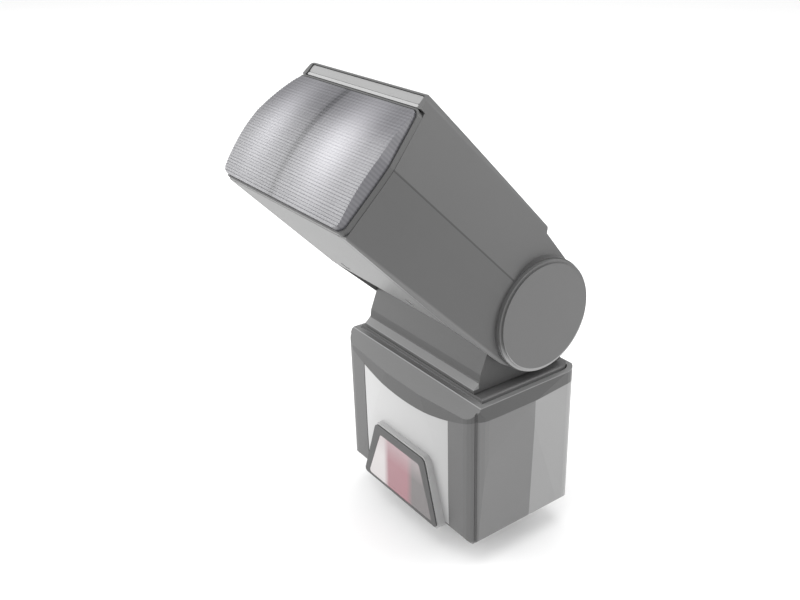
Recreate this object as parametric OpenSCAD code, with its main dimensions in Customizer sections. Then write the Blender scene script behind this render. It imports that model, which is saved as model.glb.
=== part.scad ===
// Speedlight flash with a tilting and swivelling head and a hot-shoe foot.
// Origin: bottom centre of the foot plate. +Z up, the front faces -Y. Millimetres.

/* [Foot] */
// Width of the foot plate, fixed by the accessory-shoe standard
foot_w = 18.6; // [18.4:0.1:18.6]
// Length of the foot plate
foot_l = 18.6; // [16:0.2:19]
// Thickness of the foot plate
foot_t = 2.0; // [1.8:0.1:2.1]
// Width of the neck between the rails of the shoe
neck_w = 12.3; // [12:0.1:12.5]

/* [Body] */
// Height of the body's underside above the foot
body_z = 11; // [11:0.5:14]
// Height of the flat top of the body
top_z = 64.5; // [64.5:0.5:66]
// Half width of the body at its widest line
body_hw = 37.8; // [37.5:0.1:38.2]
// Half depth of the body at the back
body_hd = 22; // [22:0.5:23]
// Wall thickness of the shells
wall = 1.8; // [1.5:0.1:2]

/* [Head] */
// Height of the tilt axis
hinge_z = 86; // [86:0.5:88]
// Distance of the tilt axis behind the swivel axis
hinge_y = 5.9; // [5:0.1:6.5]
// Tilt of the head at rest, measured up from level
tilt = 45; // [0:15:90]
// Half width of the head at its parting line
head_hw = 33.4; // [33:0.1:34]
// Radius of the round ends of the head
end_r = 19; // [18.5:0.1:19]

/* [Battery] */
// Diameter of one cell
cell_d = 14.2; // [13.5:0.1:14.3]
// Length of one cell
cell_l = 49.5; // [49:0.1:50.5]

/* [Hidden] */
$fn = 64;

gap = 0.3;       // clearance between pieces that move past each other
fit = 0.05;      // radial clearance of a shaft in its hole
eps = 0.01;      // overlap of cutting shapes
far = 60;        // reach of cutting shapes

// body levels
rim_z = 63.2;    // top of the outer walls
shoulder_z = 57.5; // widest line, where the walls start to lean in
front_y = -25.3; // middle of the bulging front
cap_z = 61.2;    // underside of the top cap's plate
seam_y = 0.8;      // plane where the front and rear shells meet

// light panel on the front, with a smile-shaped upper edge
panel_x = 24.2;
panel_edge = [for (i = [0 : 12]) let (x = panel_x * (1 - i / 6)) [x, 51 + 3.4 * pow(x / panel_x, 2)]];
groove_at = [35.6, -22.4];     // upright groove beside each front corner
groove_r = 0.45;

// foot
pin_r = 0.9;
pin_places = [[0, 0], [-3.2, 5], [3.2, 5], [-4.4, -1], [4.4, -1]];   // centre contact first
ring_grips = 28;
collar_r = 8.5;
base_t = 1.2;                  // thickness of the base plate inside the body
base_at = body_z + wall;
foot_screw_at = [9, 7];
case_screw_at = [26, 12.5];

// battery compartment, on the -X side
cells_y = [-5.6, 9.1];
cells_z = [22.1, 36.8];
cells_x = -26;                 // end of the cells at the door
door_z0 = 14;
door_z1 = 59.6;
door_y0 = -14.3;               // front edge of the door
pin_y = 16.3;                  // axis of the door's hinge
pin_x = -34;
knuckle_r = 1.7;
knuckle_zs = [[24, 30], [46, 52]];

shaft_r = 9;                   // tube that the turret turns on

// rear controls
panel_z0 = 15.5;
panel_z1 = 59.5;
panel_hw = 27.5;
key_z = 31.5;
key_xs = [18, 6, -6, -18];     // mode, zoom, minus, plus
key_r = 3.2;
test_at = [15, 22];
lamp_at = [6, 22];
switch_at = [-13, 22];

// head, in its own axes: l forward from the tilt axis, n up, before the tilt is applied
part_n = 2;                    // level of the parting line
face_l = 78.6;                 // where the side walls end at the front
bezel_t = 1.2;
hood_l = 80.3;                 // front of the hood above the lens
hood_n = 24.2;
lens_bow_r = 60;
lens_axis = [24.4, -2.5];      // axis of the lens's bowed front
cheek_x = 31;                  // inner faces of the cheeks
turret_hw = 30.5;
turret_r = 16.6;
axle_r = 4;
cap_r = 18.6;
button_r = 6;

head_screw_xs = [-18, 18];
head_screw_l = 35;
head_screw_n = -19.9;          // seat of the screw heads

// zoom unit
mouth_l = 66;                  // front edge of the reflector
mouth_n = 13.5;
trough = 19;                   // depth of the reflector
refl_hw = 23;
rod_at = [29, -4];
rod_r = 1;
rod_end_l = 76.2;
screw_at = [27.6, -13];
screw_r = 1.2;

// ---- outlines ----

function unit(v) = v / norm(v);

// corner p between a and b, rounded with radius r in n steps
function corner(a, p, b, r, n) =
    r <= 0 ? [p] :
    let (u = unit(a - p), w = unit(b - p), h = acos(u * w) / 2,
         c = p + unit(u + w) * r / sin(h),
         s = p + u * r / tan(h) - c, e = p + w * r / tan(h) - c,
         t = atan2(s[0] * e[1] - s[1] * e[0], s * e))
    [for (i = [0 : n]) let (q = t * i / n)
        c + [s[0] * cos(q) - s[1] * sin(q), s[0] * sin(q) + s[1] * cos(q)]];

// closed outline from corners [x, y, radius]
function rounded(pts, n = 6) =
    let (m = len(pts), xy = [for (p = pts) [p[0], p[1]]])
    [for (i = [0 : m - 1])
        each corner(xy[(i + m - 1) % m], xy[i], xy[(i + 1) % m], pts[i][2], n)];

// right half given from bottom to top, left half mirrored
function both_sides(right) =
    concat(right, [for (i = [len(right) - 1 : -1 : 0]) [-right[i][0], right[i][1], right[i][2]]]);

function rect(x0, y0, x1, y1, r) = [[x0, y0, r], [x1, y0, r], [x1, y1, r], [x0, y1, r]];

// plan of the body, drawn in by i on every side
function plan(i) = both_sides([[10, front_y + i, 50],
                               [37.2 - i, front_y + 1.2 + i, 6 - i],
                               [body_hw - i, -2, 30],
                               [35.6 - i, body_hd - i, 6 - i]]);

// housing of the AF lamp, the dark frame on it and the window in the frame
af_outline = rounded(both_sides([[22.6, 11, 1.5], [14.8, 35.8, 2.5]]));
af_frame_outline = rounded(both_sides([[22, 11.7, 1.2], [14.3, 35.3, 2.2]]));
af_window_outline = rounded(both_sides([[19.2, 12.6, 1], [11.6, 32, 1.5]]));

// front face of the head (x, n), drawn in by i
function face_outline(i) = rounded(both_sides([[32.7 - i, -19.3 + i, 2.4], [33.3 - i, part_n - 6, 0],
    [33.3 - i, part_n, 0], [30.3 - i, 19.2 - i, 2.2]]));

// ---- extrusions ----

// the four places that mirror p in both planes
function four(p) = [for (a = [-1, 1], b = [-1, 1]) [a * p[0], b * p[1]]];

// outline in (y, z) carried along X from x0 to x1
module along_x(x0, x1)
    translate([x1, 0, 0]) rotate([90, 0, -90]) linear_extrude(x1 - x0) mirror([1, 0]) children();

// outline in (x, z) carried along Y from y0 to y1
module along_y(y0, y1)
    translate([0, y1, 0]) rotate([90, 0, 0]) linear_extrude(y1 - y0) children();

module along_z(z0, z1) translate([0, 0, z0]) linear_extrude(z1 - z0) children();

module block(lo, hi) translate(lo) cube(hi - lo);

module rod_x(r, x0, x1, y, z) translate([x0, y, z]) rotate([0, 90, 0]) cylinder(r = r, h = x1 - x0);

module rod_y(r, y0, y1, x, z) translate([x, y1, z]) rotate([90, 0, 0]) cylinder(r = r, h = y1 - y0);

module rod_z(r, z0, z1, x = 0, y = 0) translate([x, y, z0]) cylinder(r = r, h = z1 - z0);

module ring_z(r, bore, z0, z1) difference() {
    rod_z(r, z0, z1);
    rod_z(bore, z0 - eps, z1 + eps);
}

// ---- foot ----

module hot_shoe_foot() color("#6f6f72") difference() {
    union() {
        along_z(0, foot_t) polygon(rounded(rect(-foot_w / 2, -foot_l / 2, foot_w / 2, foot_l / 2, 1)));
        along_z(foot_t - eps, 6.2 + eps) square([neck_w, 13], center = true);
        rod_z(collar_r, 6.2, body_z + wall);
        along_z(base_at, base_at + base_t) polygon(rounded(rect(-29.5, -16.2, 29.5, 16.2, 5)));
    }
    for (p = pin_places) rod_z(pin_r + fit, -eps, foot_t + 1.8, p[0], p[1]);
    rod_z(4, foot_t + 1, 30);
    for (p = four(foot_screw_at)) rod_z(0.9, 10, 30, p[0], p[1]);
    for (p = four(foot_screw_at)) rod_z(1.7, base_at + 0.5, 30, p[0], p[1]);
    for (p = four(case_screw_at)) rod_z(1.1, 10, 30, p[0], p[1]);
}

module foot_screws() color("silver") for (p = four(foot_screw_at)) {
    rod_z(0.9, body_z + 0.4, base_at + 0.5, p[0], p[1]);
    rod_z(1.7, base_at + 0.5, base_at + base_t, p[0], p[1]);
}

// square plate that the lock ring drives down onto the rails of the shoe
module pressure_plate() color("#6f6f72") difference() {
    along_z(4.4, 6) polygon(rounded(rect(-11, -10.5, 11, 10.5, 1.5)));
    along_z(4, 7) square([neck_w + 2 * gap, 13 + 2 * gap], center = true);
}

module lock_ring() color("#5f5f62") difference() {
    union() {
        rod_z(12.6, 6.4, 10.6);
        for (i = [0 : ring_grips - 1]) rotate(i * 360 / ring_grips)
            along_z(6.9, 10.1) translate([12.4, 0]) square([0.9, 1.3], center = true);
    }
    rod_z(collar_r + fit, 6, 11);
}

module contact_pins() color("gold") for (p = pin_places) rod_z(pin_r, 0, foot_t + 0.9, p[0], p[1]);

// ---- body shells ----

// envelope of the body: plan, front view and side view together
module body_form(i, z0, z1) intersection() {
    along_z(z0, z1) polygon(rounded(plan(i)));
    along_y(-30, 30) polygon(rounded(both_sides([
        [36.3 - i, body_z + i, 2.5], [body_hw - i, shoulder_z, 0], [36.1 - i, rim_z, 0],
        [35.9 - i, 70, 0]])));
    along_x(-40, 40) polygon(rounded([
        [front_y + 0.9 + i, body_z + i, 2.5], [21.5 - i, body_z + i, 2.5], [22.1 - i, 59.5, 0],
        [21.4 - i, rim_z, 0], [21.3 - i, 70, 0], [-20.7 + i, 70, 0], [-20.9 + i, rim_z, 0],
        [front_y + i, shoulder_z, 0]]));
}

module body_shell() difference() {
    body_form(0, body_z, rim_z);
    body_form(wall, body_z, rim_z + 1);
    rod_z(collar_r, body_z - 1, 20);
    for (p = four(foot_screw_at)) rod_z(0.9, 10, 20, p[0], p[1]);
    for (p = four(case_screw_at)) rod_z(1.1, 10, 20, p[0], p[1]);
    for (p = four(case_screw_at)) rod_z(2, 10, body_z + 1, p[0], p[1]);
}

module panel_outline(i)
    polygon(concat([[-panel_x + i, 12.6 + i], [panel_x - i, 12.6 + i]],
                   [for (p = panel_edge) [p[0] * (panel_x - i) / panel_x, p[1] - i]]));

module body_front_shell() color("#8b8b8d") difference() {
    intersection() {
        body_shell();
        block([-far, -far, 0], [far, seam_y, 80]);
    }
    along_y(-30, -18) panel_outline(0);
    along_y(-30, -18.5) polygon(rounded(both_sides([[23.1, 9, 0], [14.9, 35.9, 2.5]])));
    for (s = [-1, 1]) rod_z(groove_r, 0, 80, s * groove_at[0], groove_at[1]);
    door_room();
}

module body_rear_shell() color("#a9a9ab") difference() {
    union() {
        intersection() {
            body_shell();
            block([-far, seam_y, 0], [far, far, 80]);
        }
        for (z = knuckle_zs) door_knuckle(z[0], z[1]);
    }
    along_y(15, 30) polygon(rounded(rect(-panel_hw, panel_z0, panel_hw, panel_z1, 3)));
    door_room();
    rod_z(0.8, door_z0 - 0.9, door_z1 + 0.3, pin_x, pin_y);
}

// opening for the battery door in the -X wall
module door_room() difference() {
    block([-far, door_y0 - gap, door_z0 - gap], [-30, pin_y + knuckle_r + 2 * gap, door_z1 + gap]);
    for (z = knuckle_zs) door_knuckle(z[0], z[1]);
}

module door_knuckle(z0, z1) {
    rod_z(knuckle_r, z0, z1, pin_x, pin_y);
    block([pin_x - 0.3, pin_y, z0], [pin_x + knuckle_r, pin_y + 3.4, z1]);
}

module battery_door() color("#8b8b8d") difference() {
    union() {
        intersection() {
            difference() {
                body_form(0, body_z, rim_z);
                body_form(wall, body_z, rim_z + 1);
            }
            block([-far, door_y0, door_z0], [-30, pin_y, door_z1]);
        }
        rod_z(knuckle_r, door_z0, door_z1, pin_x, pin_y);
    }
    for (z = knuckle_zs)
        block([pin_x - 3, pin_y - knuckle_r - gap, z[0] - gap], [pin_x + 3, pin_y + 3, z[1] + gap]);
    rod_z(0.8 + fit, door_z0 - 1, door_z1 + 1, pin_x, pin_y);
}

module door_hinge_pin() color("silver") rod_z(0.8, door_z0 - 0.9, door_z1 + 0.3, pin_x, pin_y);

// plate on the inside of the door with one spring contact per cell
module door_contact_plate() color("gold") {
    intersection() {
        block([-36, -11, 17], [-32.6, 12.5, 42]);
        body_form(wall, body_z, rim_z);
    }
    for (y = cells_y, z = cells_z) rod_x(3.4, -32.6, cells_x - 0.4, y, z);
}

module body_top_cap() color("#c8c8ca") difference() {
    intersection() {
        union() {
            body_form(2.2, cap_z, top_z);
            body_form(wall, cap_z - 1.2, cap_z);
        }
        along_y(-30, 30) polygon(rounded(both_sides([[40, 50, 0], [33.7, top_z, 1.2]])));
    }
    rod_z(12, 50, 70);
}

module swivel_bearing() color("#d8d8da") union() {
    ring_z(12, shaft_r + fit, cap_z - 1.2, top_z + 0.2);
    ring_z(13, shaft_r + fit, cap_z - 2.2, cap_z - 1.2);
}

// ---- front of the body ----

// light panel with the raised housing of the AF lamp
module front_panel() color("#dededf") difference() {
    union() {
        intersection() {
            difference() {
                body_form(0.15, body_z, rim_z);
                body_form(wall, body_z, rim_z);
            }
            along_y(-30, -18) panel_outline(0.1);
        }
        intersection() {
            difference() {
                body_form(wall, body_z, rim_z);
                body_form(wall + 0.9, body_z, rim_z);
            }
            along_y(-30, -18) panel_outline(-1.2);
        }
        af_block(-27.5, -18.6, af_outline);
    }
    along_y(-30, -24) polygon(af_frame_outline);
    along_y(-30, -10) polygon(rounded(rect(-8, 16, 8, 30, 1.5)));
}

// outline carried along Y, with a front face that leans back towards the top
module af_block(y0, y1, outline) intersection() {
    along_y(y0 - 1, y1) polygon(outline);
    along_x(-40, 40) polygon([[y0, body_z - 2], [y0 + 0.7, 38], [-10, 38], [-10, body_z - 2]]);
}

module af_assist_frame() color("#777779") difference() {
    af_block(-28, -24, af_frame_outline);
    along_y(-30, -25.4) polygon(af_window_outline);
    along_y(-30, -15) polygon(rounded(rect(-8, 16, 8, 30, 1.5)));
}

module af_assist_window() color("#b8606a") af_block(-27.9, -25.4, af_window_outline);

module af_assist_led() color("#e8d8d8") {
    rod_y(2.5, -25, -19.4, 0, 23);
    rod_y(3, -19.4, -17.2, 0, 23);
}

// ---- rear of the body ----

module rear_panel() color("#5b5b5e") difference() {
    along_y(19.4, 22.3) polygon(rounded(rect(-panel_hw, panel_z0, panel_hw, panel_z1, 3)));
    along_y(10, 30) polygon(rounded(rect(-20, 39.5, 20, 56, 1.5)));
    for (x = key_xs) rod_y(key_r + gap, 10, 30, x, key_z);
    rod_y(key_r + gap, 10, 30, test_at[0], test_at[1]);
    rod_y(1.8, 10, 30, lamp_at[0], lamp_at[1]);
    block([switch_at[0] - 6.5, 10, switch_at[1] - 1.6], [switch_at[0] + 6.5, 30, switch_at[1] + 1.6]);
}

module lcd_window() color("#a8b4ae")
    along_y(20.9, 22) polygon(rounded(rect(-20, 39.5, 20, 56, 1.5)));

module lcd_module() color("#93a096") block([-19, 18.9, 40.5], [19, 20.9, 55]);

module ready_lamp() color("#c05048") rod_y(1.8, 18.9, 22.6, lamp_at[0], lamp_at[1]);

module key(x, z) {
    rod_y(key_r, 20.6, 23.2, x, z);
    rod_y(1.4, 19.75, 20.6, x, z);
}

module mode_button() color("#77777a") key(key_xs[0], key_z);
module zoom_button() color("#77777a") key(key_xs[1], key_z);
module minus_button() color("#77777a") key(key_xs[2], key_z);
module plus_button() color("#77777a") key(key_xs[3], key_z);
module test_button() color("#8a8a8d") key(test_at[0], test_at[1]);

module power_switch() color("#77777a") {
    block([switch_at[0] - 5.5, 19.9, switch_at[1] - 1.3], [switch_at[0] - 0.5, 23.4, switch_at[1] + 1.3]);
}

// ---- inside the body ----

module battery_tray() color("#4a4a4d") difference() {
    block([cells_x + 1, -14.1, 14.6], [cells_x + cell_l + 4.2, 17.1, 44.8]);
    for (y = cells_y, z = cells_z)
        rod_x(cell_d / 2 + 0.15, cells_x - 1, cells_x + cell_l + 2.6, y, z);
}

module battery_cells() color("#b8bcc0") for (y = cells_y, z = cells_z) {
    rod_x(cell_d / 2, cells_x, cells_x + cell_l - 1.2, y, z);
    rod_x(2.7, cells_x + cell_l - 1.2, cells_x + cell_l, y, z);
}

module battery_contacts() color("gold") for (y = cells_y, z = cells_z)
    rod_x(6, cells_x + cell_l + 0.2, cells_x + cell_l + 2.6, y, z);

module main_circuit_board() color("#3f7f5f") block([-27, -17.2, 15], [27, -16, 57.5]);

module rear_circuit_board() color("#3f7f5f") block([-26, 17.5, 17], [26, 18.9, 58]);

module power_circuit_board() color("#3f7f5f") block([29.5, -13, 15], [30.9, 15, 57.5]);

module main_capacitor() color("#35353a") {
    rod_x(6.5, -20, 22, 9, 51.3);
    rod_x(5.6, 22, 23, 9, 51.3);
}

module step_up_transformer() color("#c9a24a") {
    block([2, -13.5, 44.8], [18, -3.5, 46.8]);
    block([4, -12, 46.8], [16, -5, 56]);
}

module case_screws() color("silver") for (p = four(case_screw_at)) {
    rod_z(2, body_z + 0.2, body_z + 1, p[0], p[1]);
    rod_z(1.1, body_z + 1, base_at + base_t, p[0], p[1]);
}

// ---- turret ----

module turret_side(i) {
    polygon(rounded([[-19.2 + i, 65 + i, 0.4], [18.5 - i, 65 + i, 0.8], [15.4 - i, 72.4, 0],
                     [15.4 - i, hinge_z, 0], [-10.6 + i, hinge_z, 0], [-16.6 + i, 71, 1.5],
                     [-17 + i, 68.4, 0.4], [-19.3 + i, 66.4, 0.4]]));
}

module turret_form(i) {
    along_x(-turret_hw + i, turret_hw - i) turret_side(i);
    rod_x(turret_r - i, -turret_hw + i, turret_hw - i, hinge_y, hinge_z);
}

module turret_shell() difference() {
    turret_form(0);
    turret_form(wall);
    rod_z(shaft_r, 60, 70);
    rod_x(axle_r, -40, 40, hinge_y, hinge_z);
    rod_x(12, turret_hw - 0.4, 40, hinge_y, hinge_z);
}

module turret_front() color("#6d6d70") intersection() {
    turret_shell();
    block([-far, -far, 60], [far, hinge_y, 110]);
}

module turret_rear() color("#6d6d70") difference() {
    intersection() {
        turret_shell();
        block([-far, hinge_y, 60], [far, far, 110]);
    }
    for (x = [-22, 22]) rod_y(1.2, 10, 40, x, 80);
}

module turret_screws() color("silver") for (x = [-22, 22]) {
    rod_y(1.2, 8, 21, x, 80);
}

module swivel_shaft() color("silver") ring_z(shaft_r, 6.4, cap_z - 3, 65 + wall);

module swivel_retainer() color("silver") ring_z(11.6, shaft_r, cap_z - 3, cap_z - 2.25);

module tilt_axle() color("silver") difference() {
    rod_x(axle_r, -32.3, 33.2, hinge_y, hinge_z);
    rod_x(2.6, -40, 40, hinge_y, hinge_z);
}

module tilt_detent_plate() color("silver") difference() {
    rod_x(11.4, turret_hw - 0.4, 31.6, hinge_y, hinge_z);
    rod_x(axle_r, 20, 40, hinge_y, hinge_z);
    for (i = [0 : 23]) translate([0, hinge_y, hinge_z]) rotate([15 * i, 0, 0])
        rod_x(0.7, 31, 32, 11.2, 0);
}

// ---- head ----

// draws its children in head axes (x, -l, n) and puts them at the tilt axis
module in_head() translate([0, hinge_y, hinge_z]) rotate([-tilt, 0, 0]) children();

// outline in (l, n) carried along X
module head_side(x0, x1) translate([x1, 0, 0]) rotate([90, 0, -90]) linear_extrude(x1 - x0) children();

module head_rod_x(r, x0, x1, l, n) rod_x(r, x0, x1, -l, n);

module head_rod_l(r, l0, l1, x, n) rod_y(r, -l1, -l0, x, n);

module head_block(x0, x1, l0, l1, n0, n1) block([x0, -l1, n0], [x1, -l0, n1]);

// outline in (x, n) carried along l
module head_face(l0, l1) along_y(-l1, -l0) children();

module head_form() {
    intersection() {
        head_side(-head_hw, head_hw) polygon(rounded([
            [15.2, 20.8, 0], [16, 22.6, 0.8], [hood_l, hood_n, 1.2], [hood_l, 19.3, 0],
            [face_l, 19.3, 0], [face_l, -19.5, 0.6], [30, -20.9, 1], [18, -20.4, 0], [3, -20, 6],
            [-7, -17.66, 0], [-2, 18.89, 0]]));
        head_face(-20, 84) polygon(rounded(both_sides([[32.8, -21.5, 2.5], [head_hw, part_n - 6, 0],
            [head_hw, part_n, 0], [29.4, 24.4, 2.8]])));
    }
    head_rod_x(end_r, -head_hw, head_hw, 0, 0);
}

// hollow in front of the bulkhead
module head_hollow() intersection() {
    head_side(-far, far) difference() {
        polygon([[17.4, 21.4], [90, 22.8], [90, -17.5], [78, -17.5], [31.4, -19.1], [20.4, part_n],
                 [20.4, 8], [17.4, 12]]);
        circle(end_r);
    }
    head_face(0, 90) polygon(rounded(both_sides([[30.9, -20, 1.5], [head_hw - wall, part_n - 6, 0],
        [head_hw - wall, part_n, 0], [27.9, 22.8, 1.5]])));
}

// room that the turret needs between the cheeks, through the whole tilt
module turret_room() {
    head_side(-cheek_x, cheek_x) polygon([[18.6, part_n + 0.4], [29.4, -22], [-30, -22], [-30, 14.4],
                                          [0, 0], [10, part_n + 0.4]]);
    head_side(-cheek_x, cheek_x) polygon([[-30, 14.4], [0, 0], [-17, 14.3]]);
    head_rod_x(turret_r + 0.6, -cheek_x, cheek_x, 0, 0);
    head_rod_x(axle_r + fit, -40, 40, 0, 0);
    head_rod_x(button_r + 0.2, -40, -32.4, 0, 0);
    head_rod_x(12, 30, 31.8, 0, 0);
}

module head_shell() difference() {
    head_form();
    head_hollow();
    turret_room();
}

module head_top_shell() color("#7b7b7e") in_head() difference() {
    intersection() {
        head_shell();
        head_block(-far, far, -far, 90, part_n, 40);
    }
    head_block(-28.3, 28.3, face_l - 0.4, 90, 19.4, 23.2);
}

module head_bottom_shell() color("#8b8b8e") in_head() difference() {
    intersection() {
        head_shell();
        head_block(-far, far, -far, 90, -40, part_n);
    }
    for (x = head_screw_xs) {
        translate([x, -head_screw_l, -30]) cylinder(r = 1, h = 20);
        translate([x, -head_screw_l, -30]) cylinder(r = 1.9, h = 30 + head_screw_n);
    }
}

// frame behind the lens, with a thin rim round it and a tab for the front end of each guide rod
module head_bezel() color("#58585b") in_head() {
    difference() {
        head_face(face_l, face_l + bezel_t + 0.5) polygon(face_outline(0));
        head_face(face_l + bezel_t, 90) polygon(face_outline(0.45));
        head_face(0, 90) polygon(face_outline(2.8));
    }
    for (s = [-1, 1]) head_block(s * 29.5 - 1.9, s * 29.5 + 1.9, rod_end_l, face_l, -6, -2);
}

module lens() color("#b4b0bc") in_head() difference() {
    intersection() {
        head_face(face_l + bezel_t, 90) polygon(face_outline(0.5));
        head_rod_x(lens_bow_r, -40, 40, lens_axis[0], lens_axis[1]);
    }
    intersection() {
        head_face(0, 90) polygon(face_outline(2.8));
        head_rod_x(lens_bow_r - 1.6, -40, 40, lens_axis[0], lens_axis[1]);
    }
}

module hinge_cap_right() color("#7b7b7e") in_head() {
    rod_x(cap_r, head_hw, head_hw + 1.2, 0, 0);
    rod_x(cap_r - 1, head_hw + 1.2, head_hw + 1.8, 0, 0);
}

module hinge_cap_left() color("#7b7b7e") in_head() difference() {
    union() {
        rod_x(cap_r, -head_hw - 1.2, -head_hw, 0, 0);
        rod_x(cap_r - 1, -head_hw - 1.8, -head_hw - 1.2, 0, 0);
    }
    rod_x(button_r + 0.08, -40, -30, 0, 0);
}

module tilt_release_button() color("#6a6a6d") in_head() rod_x(button_r, -36.4, -33.8, 0, 0);

module wide_panel() color("#e2e6ea") in_head() {
    head_block(-26.4, 26.4, 43, face_l, 20.7, 21.6);
    head_face(face_l, hood_l - 0.3) polygon(rounded(rect(-28.1, 20.6, 28.1, 23.05, 0.8)));
}

module bounce_card() color("#f4f4f4") in_head() {
    head_block(-26.6, 26.6, 45, face_l, 19.85, 20.35);
    head_face(face_l, hood_l - 0.3) polygon(rounded(rect(-28.1, 19.6, 28.1, 20.5, 0.4)));
}

// ---- inside the head ----

module guide_rods() color("silver") in_head() for (s = [-1, 1])
    head_rod_l(rod_r, 24.4, rod_end_l, s * rod_at[0], rod_at[1]);

module zoom_motor() color("#9a9a9e") in_head() head_rod_l(4.4, 31.6, 37.6, screw_at[0] - 1, screw_at[1]);

module lead_screw() color("#d0c080") in_head() head_rod_l(screw_r, 37.7, 72, screw_at[0], screw_at[1]);

// trough outline (l, n), parabolic, with its vertex behind the tube
function trough_edge(w) = [for (i = [-10 : 10]) let (n = (mouth_n + w) * i / 10)
    [mouth_l - trough - w + (trough + w) * pow(i / 10, 2), n]];

module reflector() color("#e8e8ec") in_head() {
    head_side(-refl_hw, refl_hw) difference() {
        polygon(trough_edge(0.7));
        polygon(concat(trough_edge(0), [[mouth_l + 1, mouth_n], [mouth_l + 1, -mouth_n]]));
    }
    for (x = [-refl_hw - 0.8, refl_hw]) difference() {
        head_side(x, x + 0.8) polygon(trough_edge(0.7));
        head_rod_x(2.2, -40, 40, mouth_l - trough + 3.6, 0);
    }
}

module flash_tube() color("#f0f4ff") in_head() {
    head_rod_x(2.2, -25.4, 25.4, mouth_l - trough + 3.6, 0);
    for (x = [-26.6, 25.4]) head_rod_x(1.6, x, x + 1.2, mouth_l - trough + 3.6, 0);
}

module zoom_carriage() color("#48484b") in_head() difference() {
    union() {
        head_block(-30.6, 30.6, mouth_l - trough - 2.5, mouth_l - trough - 0.7, -5.5, 5.5);
        for (s = [-1, 1]) head_block(s * 29 - 1.6, s * 29 + 1.6, mouth_l - trough - 0.7, mouth_l - 8, -7, -1);
        head_block(26.2, 30.2, mouth_l - trough + 1.5, mouth_l - trough + 10, -14.9, -7);
    }
    for (s = [-1, 1]) head_rod_l(rod_r + fit, 0, 90, s * rod_at[0], rod_at[1]);
    head_rod_l(screw_r + fit, 0, 90, screw_at[0], screw_at[1]);
}

module head_circuit_board() color("#3f7f5f") in_head() head_block(-28, 28, 24, 38, 16.2, 17.4);

module trigger_coil() color("#a06030") in_head() head_rod_x(3.2, -14, -4, 30, 13);

module head_screws() color("silver") in_head() for (x = head_screw_xs) translate([x, -head_screw_l, 0]) {
    rod_z(1.9, head_screw_n - 0.7, head_screw_n);
    rod_z(1, head_screw_n, head_screw_n + 5);
}

hot_shoe_foot();
foot_screws();
body_front_shell();
body_rear_shell();
body_top_cap();
front_panel();
af_assist_frame();
af_assist_window();
af_assist_led();
rear_panel();
lcd_window();
lcd_module();
ready_lamp();
battery_tray();
battery_contacts();
battery_cells();
main_circuit_board();
rear_circuit_board();
power_circuit_board();
main_capacitor();
step_up_transformer();
case_screws();
swivel_bearing();
battery_door();
door_contact_plate();
door_hinge_pin();
power_switch();
test_button();
mode_button();
zoom_button();
plus_button();
minus_button();
pressure_plate();
lock_ring();
contact_pins();
turret_front();
turret_rear();
turret_screws();
swivel_shaft();
swivel_retainer();
tilt_axle();
tilt_detent_plate();
head_top_shell();
head_bottom_shell();
head_bezel();
lens();
hinge_cap_right();
hinge_cap_left();
tilt_release_button();
wide_panel();
bounce_card();
guide_rods();
lead_screw();
zoom_motor();
zoom_carriage();
reflector();
flash_tube();
head_circuit_board();
trigger_coil();
head_screws();
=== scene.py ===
"""Speedlight flash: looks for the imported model, at rest with the head tilted 45 degrees."""
import bpy
import bmesh
from math import ceil, cos, pi, radians, sin, sqrt
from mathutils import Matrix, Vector


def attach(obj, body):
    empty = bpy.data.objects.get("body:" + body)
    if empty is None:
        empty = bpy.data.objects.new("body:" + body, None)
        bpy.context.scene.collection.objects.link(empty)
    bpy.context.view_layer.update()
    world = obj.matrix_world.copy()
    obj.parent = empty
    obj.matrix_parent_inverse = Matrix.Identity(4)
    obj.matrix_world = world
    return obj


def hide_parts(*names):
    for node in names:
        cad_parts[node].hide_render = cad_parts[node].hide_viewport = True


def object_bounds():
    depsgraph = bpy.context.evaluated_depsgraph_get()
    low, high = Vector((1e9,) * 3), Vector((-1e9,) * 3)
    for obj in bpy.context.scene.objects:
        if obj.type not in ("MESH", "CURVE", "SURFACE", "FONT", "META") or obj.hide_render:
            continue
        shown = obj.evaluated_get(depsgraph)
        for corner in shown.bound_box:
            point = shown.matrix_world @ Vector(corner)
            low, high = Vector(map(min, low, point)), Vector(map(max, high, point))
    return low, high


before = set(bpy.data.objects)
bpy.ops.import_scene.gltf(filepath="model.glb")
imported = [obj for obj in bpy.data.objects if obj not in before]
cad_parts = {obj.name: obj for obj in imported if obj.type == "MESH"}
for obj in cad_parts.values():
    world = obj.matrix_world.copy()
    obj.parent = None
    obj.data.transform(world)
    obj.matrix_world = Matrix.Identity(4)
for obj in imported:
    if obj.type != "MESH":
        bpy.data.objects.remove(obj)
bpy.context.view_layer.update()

MM = 0.001
SCENE = bpy.context.scene

# ---------------------------------------------------------------- places on the object, in metres

HINGE = Vector((0, 5.9, 86)) * MM    # tilt axis
HALF_ROOT = sqrt(0.5)                # sine and cosine of the head's rest tilt

PANEL_X = 24.2 * MM                  # half width of the front panel
SMILE_Z = 51 * MM                    # lowest point of the dark band
SMILE_RISE = 3.4 * MM
SHOULDER = 58.5 * MM                 # lower edge of the dark rim along the sides
RIM_HIGHLIGHT_EDGE = 62.9 * MM                 # painted highlight along the top edge of the walls starts at this height
COLUMN_Y = -22.2 * MM                # the front columns lie before this, the side walls behind it
FOOT_HIGHLIGHT_TOP = 12.2 * MM                # top of the painted highlight along the rounded bottom edge of the body
TURRET_LEDGE_Y = -17.15 * MM         # the ledge, painted with a highlight, lies before this
TURRET_LEDGE_Z = (66.3 * MM, 68.7 * MM)
DISC_HIGHLIGHT_RADIUS = 17.35 * MM                # inner radius of the painted highlight on the lower rim of a hinge disc
DISC_HIGHLIGHT_DROP = 4 * MM                    # the painted highlight starts to brighten this far below the tilt axis

# ---------------------------------------------------------------- tones

EXPOSED = 0.62    # the lights show a grey surface this much darker at its own level


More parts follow.
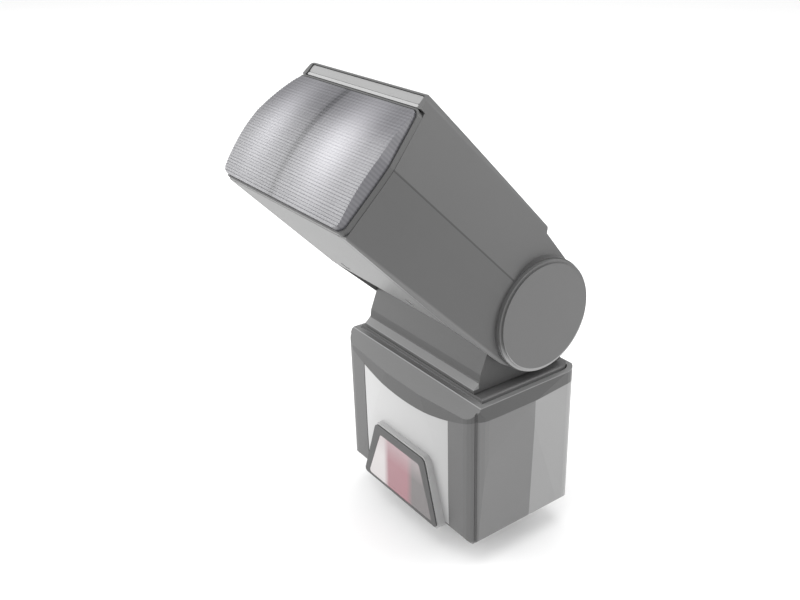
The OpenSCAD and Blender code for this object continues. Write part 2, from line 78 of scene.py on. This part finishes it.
def grey(value):
    """Linear colour that shows as an sRGB grey level from 0 to 255 under the scene's lights."""
    v = value / 255.0
    linear = v / 12.92 if v <= 0.04045 else ((v + 0.055) / 1.055) ** 2.4
    return (linear * EXPOSED, linear * EXPOSED, linear * EXPOSED)


HEAD_GREY = grey(99)
# underside of the head, painted paler as painted light from below
HEAD_UNDERSIDE_LIT_GREY = grey(132)
HEAD_LINE_GREY = grey(52)
# rear shell and battery door grey, paler than the side walls: partly the plastic's own grey, partly a
# painted reflection
REAR_SHELL_GREY_AND_REFLECTION = grey(170)
BAND_GREY = grey(88)
# painted highlight along the top edge of the body walls
RIM_HIGHLIGHT_GREY = grey(150)
COLUMN_GREY = grey(110)
SIDE_GREY = grey(132)
# painted highlight along the rounded bottom edge of the body
FOOT_HIGHLIGHT_GREY = grey(165)
TURRET_GREY = grey(73)
# painted highlight on the upward-facing turret ledge
TURRET_LEDGE_HIGHLIGHT_GREY = grey(150)
DISC_GREY = grey(116)
# painted highlight on the lower rim of the hinge discs
DISC_HIGHLIGHT_GREY = grey(185)
# front panel grey, and the painted highlight it pales to on the side towards the key light
PANEL_GREY_AND_HIGHLIGHT = (grey(200), grey(228))
BORDER_GREY = grey(62)

# ---------------------------------------------------------------- materials

MATERIALS = {}


def new_material(name):
    mat = bpy.data.materials.new(name)
    mat.use_nodes = True
    return mat, mat.node_tree, mat.node_tree.nodes["Principled BSDF"]


def noise(tree, coord, scale, detail):
    """Noise over the surface, 0 to 1."""
    node = tree.nodes.new("ShaderNodeTexNoise")
    node.inputs["Scale"].default_value = scale
    node.inputs["Detail"].default_value = detail
    tree.links.new(coord.outputs["Object"], node.inputs["Vector"])
    return node.outputs["Fac"]


def spread(tree, value, centre, reach):
    """Maps 0 to 1 onto centre - reach to centre + reach."""
    node = tree.nodes.new("ShaderNodeMapRange")
    node.inputs["To Min"].default_value = centre - reach
    node.inputs["To Max"].default_value = centre + reach
    tree.links.new(value, node.inputs["Value"])
    return node.outputs["Result"]


def grained(name, colour, rough=0.55, grain=2600.0, bump=0.00004, vary=0.05, metal=0.0, coat=0.0):
    """Moulded or plated surface: fine grain in the bump, soft variation in colour and roughness."""
    mat, tree, bsdf = new_material(name)
    coord = tree.nodes.new("ShaderNodeTexCoord")
    fine = noise(tree, coord, grain, detail=3.0)
    broad = noise(tree, coord, 45.0, detail=4.0)
    tint = tree.nodes.new("ShaderNodeMix")
    tint.name = "tint"
    tint.data_type = "RGBA"
    tint.blend_type = "MULTIPLY"
    tint.inputs["Factor"].default_value = 1.0
    tint.inputs["A"].default_value = (*colour, 1.0)
    tree.links.new(spread(tree, broad, 1.0, vary), tint.inputs["B"])
    tree.links.new(tint.outputs["Result"], bsdf.inputs["Base Color"])
    tree.links.new(spread(tree, fine, rough, 0.06), bsdf.inputs["Roughness"])
    relief = tree.nodes.new("ShaderNodeBump")
    relief.inputs["Strength"].default_value = 0.35
    relief.inputs["Distance"].default_value = bump
    tree.links.new(fine, relief.inputs["Height"])
    tree.links.new(relief.outputs["Normal"], bsdf.inputs["Normal"])
    bsdf.inputs["Metallic"].default_value = metal
    bsdf.inputs["Coat Weight"].default_value = coat
    MATERIALS[name] = mat
    return mat


class Field:
    """A number that varies over a surface. Arithmetic on it adds Math nodes to the material."""

    def __init__(self, tree, socket):
        self.tree = tree
        self.socket = socket

    def math(self, operation, other=None, clamp=False):
        node = self.tree.nodes.new("ShaderNodeMath")
        node.operation = operation
        node.use_clamp = clamp
        self.tree.links.new(self.socket, node.inputs[0])
        if isinstance(other, Field):
            self.tree.links.new(other.socket, node.inputs[1])
        elif other is not None:
            node.inputs[1].default_value = other
        return Field(self.tree, node.outputs[0])

    def __add__(self, other):
        return self.math("ADD", other)

    def __sub__(self, other):
        return self.math("SUBTRACT", other)

    def __mul__(self, other):
        return self.math("MULTIPLY", other)

    def __truediv__(self, other):
        return self.math("DIVIDE", other)

    def __neg__(self):
        return self.math("MULTIPLY", -1.0)

    def __abs__(self):
        return self.math("ABSOLUTE")

    def rise(self, edge, over=0.1 * MM):
        """0 below the edge, growing to 1 over the given distance above it."""
        return (self - edge).math("MULTIPLY", 1 / over, clamp=True)

    def flip(self):
        """1 where the field is 0, and 0 where it is 1."""
        return self.math("MULTIPLY", -1.0) + 1.0

    def wave(self, length):
        """Sine with the given wavelength, -1 to 1."""
        return (self * (2 * pi / length)).math("SINE")


def mix(share, a, b):
    """Colour between a and b; each is a linear colour or the output of another mix."""
    node = share.tree.nodes.new("ShaderNodeMix")
    node.data_type = "RGBA"
    share.tree.links.new(share.socket, node.inputs["Factor"])
    for name, value in (("A", a), ("B", b)):
        if isinstance(value, tuple):
            node.inputs[name].default_value = (*value, 1.0)
        else:
            share.tree.links.new(value, node.inputs[name])
    return node.outputs["Result"]


def recolour(mat, colour_at):
    """Gives a grained material the colour that colour_at(x, y, z) works out from the point."""
    tree = mat.node_tree
    coord = tree.nodes.new("ShaderNodeTexCoord")
    parts = tree.nodes.new("ShaderNodeSeparateXYZ")
    tree.links.new(coord.outputs["Object"], parts.inputs[0])
    x, y, z = (Field(tree, parts.outputs[axis]) for axis in "XYZ")
    tree.links.new(colour_at(x, y, z), tree.nodes["tint"].inputs["A"])


def along_head(y, z):
    """Distances from the tilt axis towards the lens and towards the top of the head."""
    dy = y - HINGE.y
    dz = z - HINGE.z
    return (dz - dy) * HALF_ROOT, (dy + dz) * HALF_ROOT


def band_over(z, x, lower):
    """Dark rim and smile-edged front band over a lower colour, with a painted highlight along the top
    edge.
    """
    ratio = x / PANEL_X
    smile = ratio * ratio * SMILE_RISE + SMILE_Z
    banded = mix(z.rise(smile.math("MINIMUM", SHOULDER)), lower, BAND_GREY)
    # the top of the walls is painted with a highlight
    return mix(z.rise(RIM_HIGHLIGHT_EDGE), banded, RIM_HIGHLIGHT_GREY)


def rear_shell_colour(x, y, z):
    # the rear shell grey includes a painted reflection
    return band_over(z, x, REAR_SHELL_GREY_AND_REFLECTION)


def front_shell_colour(x, y, z):
    """Dark columns beside the panel, lighter side walls and a painted highlight along the bottom edge."""
    walls = mix(y.rise(COLUMN_Y, over=0.8 * MM), COLUMN_GREY, SIDE_GREY)
    # the bottom edge is painted with a highlight
    lower = mix((-z).rise(-FOOT_HIGHLIGHT_TOP, over=0.8 * MM), walls, FOOT_HIGHLIGHT_GREY)
    return band_over(z, x, lower)


def turret_colour(x, y, z):
    """Dark turret with a painted highlight on the ledge along the foot of its front."""
    bottom, top = TURRET_LEDGE_Z
    # painted highlight on the ledge
    ledge_highlight = (-y).rise(-TURRET_LEDGE_Y) * (z.rise(bottom) * (-z).rise(-top))
    return mix(ledge_highlight, TURRET_GREY, TURRET_LEDGE_HIGHLIGHT_GREY)


def disc_colour(x, y, z):
    """Hinge disc with a painted highlight along its lower rim."""
    dy = y - HINGE.y
    dz = z - HINGE.z
    radius = (dy * dy + dz * dz).math("SQRT")
    rim_highlight = radius.rise(DISC_HIGHLIGHT_RADIUS) * (-dz).rise(DISC_HIGHLIGHT_DROP, over=6.667 * MM)
    return mix(rim_highlight, DISC_GREY, DISC_HIGHLIGHT_GREY)


def panel_colour(x, y, z):
    """Panel grey with a painted highlight that pales it softly towards one side."""
    plain_grey, painted_bright = PANEL_GREY_AND_HIGHLIGHT
    return mix((-x).rise(-PANEL_X, over=2 * PANEL_X), plain_grey, painted_bright)


def window_colour(x, y, z):
    """AF window: red in the middle, pale on the left from a painted reflection, grey on the right from
    painted shade, paler higher up from a painted reflection.
    """
    red = (0.27, 0.12, 0.14)
    # painted reflection on the left, painted shade on the right, painted reflection higher up
    painted_bright = (0.5, 0.47, 0.47)
    shaded_grey = (0.125, 0.115, 0.115)
    sky_reflection = (0.36, 0.3, 0.31)
    side = mix((-x).rise(6.5 * MM, over=2.857 * MM), red, painted_bright)
    both = mix(x.rise(4.5 * MM, over=3.333 * MM), side, shaded_grey)
    return mix(z.rise(24 * MM, over=6.667 * MM) * 0.5, both, sky_reflection)


# painted reflection of the reflector behind the lens, in bright and dark lobes: middle and width along x,
# height, strength
REFLECTION_LOBES = ((-19.5 * MM, 7.8 * MM, 15 * MM, 0.4),
         (13.5 * MM, 9.5 * MM, 15 * MM, 0.56),
         (-3 * MM, 1.8 * MM, 30 * MM, -0.16),
         (30 * MM, 4 * MM, 30 * MM, 0.08))
LOBE_UP = 1 * MM
LENS_BASE = 0.16     # light between the lobes
RIPPLE = 0.035       # strength of the painted light and shade of the fine prisms


def lens_colour(x, y, z):
    """Painted reflection of the reflector: two bright lobes with a painted dark valley, seen through fine
    prisms painted as light and dark stripes.
    """
    forward, up = along_head(y, z)
    light = None
    for middle, width, height, strength in REFLECTION_LOBES:
        dx = (x - middle) / width
        dup = (up - LOBE_UP) / height
        lobe = (-(dx * dx + dup * dup)).math("EXPONENT") * strength
        light = lobe if light is None else light + lobe
    prisms = (up.wave(1.1 * MM) + x.wave(1.6 * MM) * 0.6) * RIPPLE
    shine = (light + LENS_BASE).math("ADD", prisms, clamp=True)
    return mix(shine, (0.02, 0.02, 0.025), (0.47, 0.465, 0.495))


def head_colour(x, y, z):
    """Dark parting line along the sides, a seam along each edge of the underside, and the underside
    painted paler as painted light from below.
    """
    forward, up = along_head(y, z)
    on_parting = abs(up - 2 * MM).rise(0.22 * MM).flip()
    on_seam = abs(abs(x) - 29.3 * MM).rise(0.3 * MM).flip()
    parting = on_parting * forward.rise(19 * MM)
    seam = on_seam * (-up).rise(18.5 * MM)
    line = parting.math("MAXIMUM", seam) * 0.75
    # painted light: the underside is paler
    base = mix((-up).rise(18.8 * MM, over=0.6 * MM), HEAD_GREY, HEAD_UNDERSIDE_LIT_GREY)
    return mix(line, base, HEAD_LINE_GREY)


def display_colour(x, y, z):
    """Dark border round a pale display area with a few blank, faint segment bars."""
    beside = abs(x).rise(17.5 * MM)
    above_or_below = abs(z - 47.8 * MM).rise(6.6 * MM)
    bars = x.wave(5.8 * MM).rise(0.2, over=0.05) * z.wave(4.7 * MM).rise(0.35, over=0.05)
    area = mix(bars * 0.16, (0.24, 0.28, 0.23), (0.05, 0.06, 0.05))
    return mix(beside.math("MAXIMUM", above_or_below), area, BORDER_GREY)


FINE = {"grain": 900.0, "bump": 0.00001}    # smoother than moulded plastic

grained("head_plastic", HEAD_GREY, 0.42)
grained("body_plastic", REAR_SHELL_GREY_AND_REFLECTION, 0.36)
grained("front_plastic", SIDE_GREY, 0.42)
grained("dark_plastic", grey(92), 0.45)
grained("turret_plastic", TURRET_GREY, 0.45)
grained("cap_plastic", DISC_GREY, 0.42)
grained("frame_plastic", grey(84), 0.35)
grained("bezel_plastic", grey(92), 0.4)
grained("ledge_plastic", grey(112), 0.4)
grained("panel_plastic", PANEL_GREY_AND_HIGHLIGHT[0], 0.34, bump=0.000006, vary=0.03)
grained("panel_black", grey(80), 0.25, coat=0.3, **FINE)
grained("key_rubber", grey(105), 0.6)
grained("plated_steel", (0.62, 0.62, 0.63), 0.28, metal=1.0, **FINE)
grained("cast_alloy", (0.45, 0.45, 0.46), 0.38, metal=1.0)
grained("gold_plating", (0.78, 0.6, 0.3), 0.25, metal=1.0, **FINE)
grained("enamelled_copper", (0.55, 0.26, 0.13), 0.35, metal=0.8)
grained("solder_mask", (0.03, 0.13, 0.07), 0.4, coat=0.3)
grained("shrink_sleeve", grey(60), 0.3, coat=0.3)
grained("cell_sleeve", (0.2, 0.2, 0.22), 0.35, coat=0.2)
grained("card_white", grey(196), 0.5)
grained("diffuser_strip", grey(172), 0.35, coat=0.2)
grained("lens_clear", (0.42, 0.41, 0.45), 0.25)
grained("clear_plastic", (0.5, 0.52, 0.5), 0.15, coat=0.4)
grained("display_glass", (0.19, 0.22, 0.19), 0.12, grain=900.0, bump=0.000005, coat=0.6)
grained("af_red", (0.45, 0.16, 0.19), 0.2, coat=0.5)
grained("lamp_red", (0.32, 0.05, 0.04), 0.2, coat=0.5)
grained("reflector_metal", (0.85, 0.85, 0.87), 0.12, grain=700.0, metal=1.0)

COLOUR_ZONES = {
    "head_plastic": head_colour,
    "body_plastic": rear_shell_colour,
    "front_plastic": front_shell_colour,
    "turret_plastic": turret_colour,
    "cap_plastic": disc_colour,
    "panel_plastic": panel_colour,
    "af_red": window_colour,
    "lens_clear": lens_colour,
    "display_glass": display_colour,
}
for material, colour_at in COLOUR_ZONES.items():
    recolour(MATERIALS[material], colour_at)

# ---------------------------------------------------------------- CAD nodes

NODE_MATERIALS = {
    "head_plastic": ["head_top_shell", "head_bottom_shell"],
    "cap_plastic": ["hinge_cap_right", "hinge_cap_left"],
    "body_plastic": ["body_rear_shell", "battery_door"],
    "front_plastic": ["body_front_shell"],
    "turret_plastic": ["turret_front", "turret_rear"],
    "dark_plastic": ["pressure_plate", "lock_ring", "battery_tray", "zoom_carriage"],
    "frame_plastic": ["af_assist_frame"],
    "bezel_plastic": ["head_bezel"],
    "ledge_plastic": ["body_top_cap"],
    "panel_plastic": ["front_panel"],
    "panel_black": ["rear_panel"],
    "display_glass": ["lcd_window"],
    "key_rubber": ["power_switch", "test_button", "mode_button", "zoom_button", "plus_button",
                   "minus_button", "tilt_release_button"],
    "plated_steel": ["foot_screws", "case_screws", "door_hinge_pin", "turret_screws", "swivel_shaft",
                     "swivel_retainer", "tilt_axle", "tilt_detent_plate", "guide_rods",
                     "head_screws"],
    "cast_alloy": ["hot_shoe_foot", "zoom_motor"],
    "gold_plating": ["battery_contacts", "door_contact_plate", "contact_pins", "lead_screw"],
    "enamelled_copper": ["step_up_transformer", "trigger_coil"],
    "solder_mask": ["main_circuit_board", "rear_circuit_board", "power_circuit_board",
                    "head_circuit_board"],
    "shrink_sleeve": ["main_capacitor"],
    "cell_sleeve": ["battery_cells"],
    "card_white": ["bounce_card", "swivel_bearing"],
    "diffuser_strip": ["wide_panel"],
    "lens_clear": ["lens"],
    "clear_plastic": ["lcd_module", "af_assist_led", "flash_tube"],
    "af_red": ["af_assist_window"],
    "lamp_red": ["ready_lamp"],
    "reflector_metal": ["reflector"],
}


def soften(ob):
    """Joins coplanar faces, then rounds the sharp edges."""
    flat = ob.modifiers.new("planar", "DECIMATE")
    flat.decimate_type = "DISSOLVE"
    flat.angle_limit = radians(1.0)
    round_edges = ob.modifiers.new("edges", "BEVEL")
    round_edges.width = 0.35 * MM
    round_edges.segments = 3
    round_edges.limit_method = "ANGLE"
    round_edges.angle_limit = radians(32)
    round_edges.harden_normals = True


for material, nodes in NODE_MATERIALS.items():
    for node in nodes:
        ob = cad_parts[node]
        for slot in ob.material_slots:
            slot.material = MATERIALS[material]
        soften(ob)

# ---------------------------------------------------------------- front lens, in mm in the head's axes

LENS_SIDE = ((-18.8, 32.2), (-4, 32.8), (2, 32.8), (18.7, 29.8))    # height, half width
LENS_LOW, LENS_HIGH = -18.75, 18.6
LENS_CORNER = 2.3
LENS_GAP = 0.05                      # to the bezel at each side
LENS_BACK = 79.85                    # distance of the flat back from the tilt axis
BOW_RADIUS = 60
BOW_CENTRE = (24.4, -2.5)            # forward, up
BOW_INSET = 0.03                     # keeps the prisms inside the CAD lens
PRISM_PITCH, PRISM_DEPTH = 0.85, 0.16
PRISM_SLOPE = 0.82                   # share of the pitch taken by the slope


def head_point(x, forward, up):
    """Point of the head's own axes, in mm, in the shared frame."""
    return (x * MM, HINGE.y + (up - forward) * HALF_ROOT * MM, HINGE.z + (up + forward) * HALF_ROOT * MM)


def new_piece(name, verts, faces, material, body):
    """Mesh object that moves with a body."""
    mesh = bpy.data.meshes.new(name)
    mesh.from_pydata(verts, [], faces)
    work = bmesh.new()
    work.from_mesh(mesh)
    bmesh.ops.recalc_face_normals(work, faces=work.faces)
    work.to_mesh(mesh)
    work.free()
    mesh.materials.append(material)
    ob = bpy.data.objects.new(name, mesh)
    SCENE.collection.objects.link(ob)
    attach(ob, body)
    return ob


def lens_half_width(up):
    """Half width of the lens at a height, with rounded corners."""
    for (low, w_low), (high, w_high) in zip(LENS_SIDE, LENS_SIDE[1:]):
        if up <= high:
            side = w_low + (w_high - w_low) * (up - low) / (high - low)
            break
    into = max(LENS_LOW + LENS_CORNER - up, up - (LENS_HIGH - LENS_CORNER), 0)
    corner = LENS_CORNER - sqrt(max(LENS_CORNER ** 2 - into ** 2, 0))
    return side - LENS_GAP - corner


def lens_front(up):
    """Distance of the bowed front from the tilt axis."""
    forward, middle = BOW_CENTRE
    return forward + sqrt(BOW_RADIUS ** 2 - (up - middle) ** 2) - BOW_INSET


def build_lens():
    """Bowed front lens: a closed shell whose front is cut into fine horizontal prisms."""
    rows = []
    for i in range(ceil((LENS_HIGH - LENS_LOW) / PRISM_PITCH)):
        up = LENS_LOW + i * PRISM_PITCH
        rows.append((up, PRISM_DEPTH))
        rows.append((min(up + PRISM_PITCH * PRISM_SLOPE, LENS_HIGH), 0.0))
    verts = []
    for up, cut in rows:
        front = lens_front(up) - cut
        w = lens_half_width(up)
        for x, forward in ((-w, front), (w, front), (w, LENS_BACK), (-w, LENS_BACK)):
            verts.append(head_point(x, forward, up))
    faces = []
    for a in range(0, len(verts) - 4, 4):
        b = a + 4
        for j in range(4):
            k = (j + 1) % 4
            faces.append((a + j, a + k, b + k, b + j))
    last = len(verts) - 4
    faces += [(0, 1, 2, 3), (last, last + 1, last + 2, last + 3)]
    return new_piece("lens_prisms", verts, faces, MATERIALS["lens_clear"], "head")


lens_piece = build_lens()
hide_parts("lens")

# ---------------------------------------------------------------- floor

FLOOR_REACH = 4    # metres from the middle to each edge


def build_floor(height):
    mesh = bpy.data.meshes.new("floor")
    corners = [(-1, -1), (1, -1), (1, 1), (-1, 1)]
    mesh.from_pydata([(x * FLOOR_REACH, y * FLOOR_REACH, height) for x, y in corners], [], [(0, 1, 2, 3)])
    mat, _, bsdf = new_material("floor")
    bsdf.inputs["Base Color"].default_value = (0.92, 0.92, 0.92, 1)
    bsdf.inputs["Roughness"].default_value = 0.9
    mesh.materials.append(mat)
    ob = bpy.data.objects.new("floor", mesh)
    SCENE.collection.objects.link(ob)
    return ob


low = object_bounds()[0]
floor = build_floor(low[2])

# ---------------------------------------------------------------- light

LIT = Vector((0, -0.02, 0.08))    # the lights aim here


def area_light(name, place, size, power):
    data = bpy.data.lights.new(name, "AREA")
    data.shape = "RECTANGLE"
    data.size, data.size_y = size
    data.energy = power
    ob = bpy.data.objects.new(name, data)
    SCENE.collection.objects.link(ob)
    ob.location = place
    ob.rotation_euler = (LIT - Vector(place)).to_track_quat("-Z", "Y").to_euler()


area_light("key_front_left", (-0.9, -0.9, 0.5), (0.9, 0.9), 11)
area_light("fill_rear_right", (0.7, 1.0, 0.5), (0.7, 0.9), 6)
area_light("top", (0.0, -0.1, 1.3), (1.2, 1.2), 9)

world = bpy.data.worlds.new("studio")
SCENE.world = world
world.use_nodes = True
sky = world.node_tree.nodes["Background"]
sky.inputs["Color"].default_value = (1, 1, 1, 1)
sky.inputs["Strength"].default_value = 0.9
SCENE.view_settings.view_transform = "Standard"

# ---------------------------------------------------------------- camera

VIEW_AZ, VIEW_EL = radians(51.4), radians(25.7)
VIEW_DISTANCE = 0.310
ORBIT = Vector((0, 0, 0.076))     # the camera looks here, before its shift

out = Vector((sin(VIEW_AZ) * cos(VIEW_EL), -cos(VIEW_AZ) * cos(VIEW_EL), sin(VIEW_EL)))
cam_data = bpy.data.cameras.new("camera")
cam_data.sensor_width = 36
cam_data.lens = 40.9
cam_data.shift_x = -0.076
cam_data.shift_y = 0.016
cam_data.clip_start = 0.005
camera = bpy.data.objects.new("camera", cam_data)
SCENE.collection.objects.link(camera)
camera.location = ORBIT + out * VIEW_DISTANCE
camera.rotation_euler = (-out).to_track_quat("-Z", "Y").to_euler()
SCENE.camera = camera
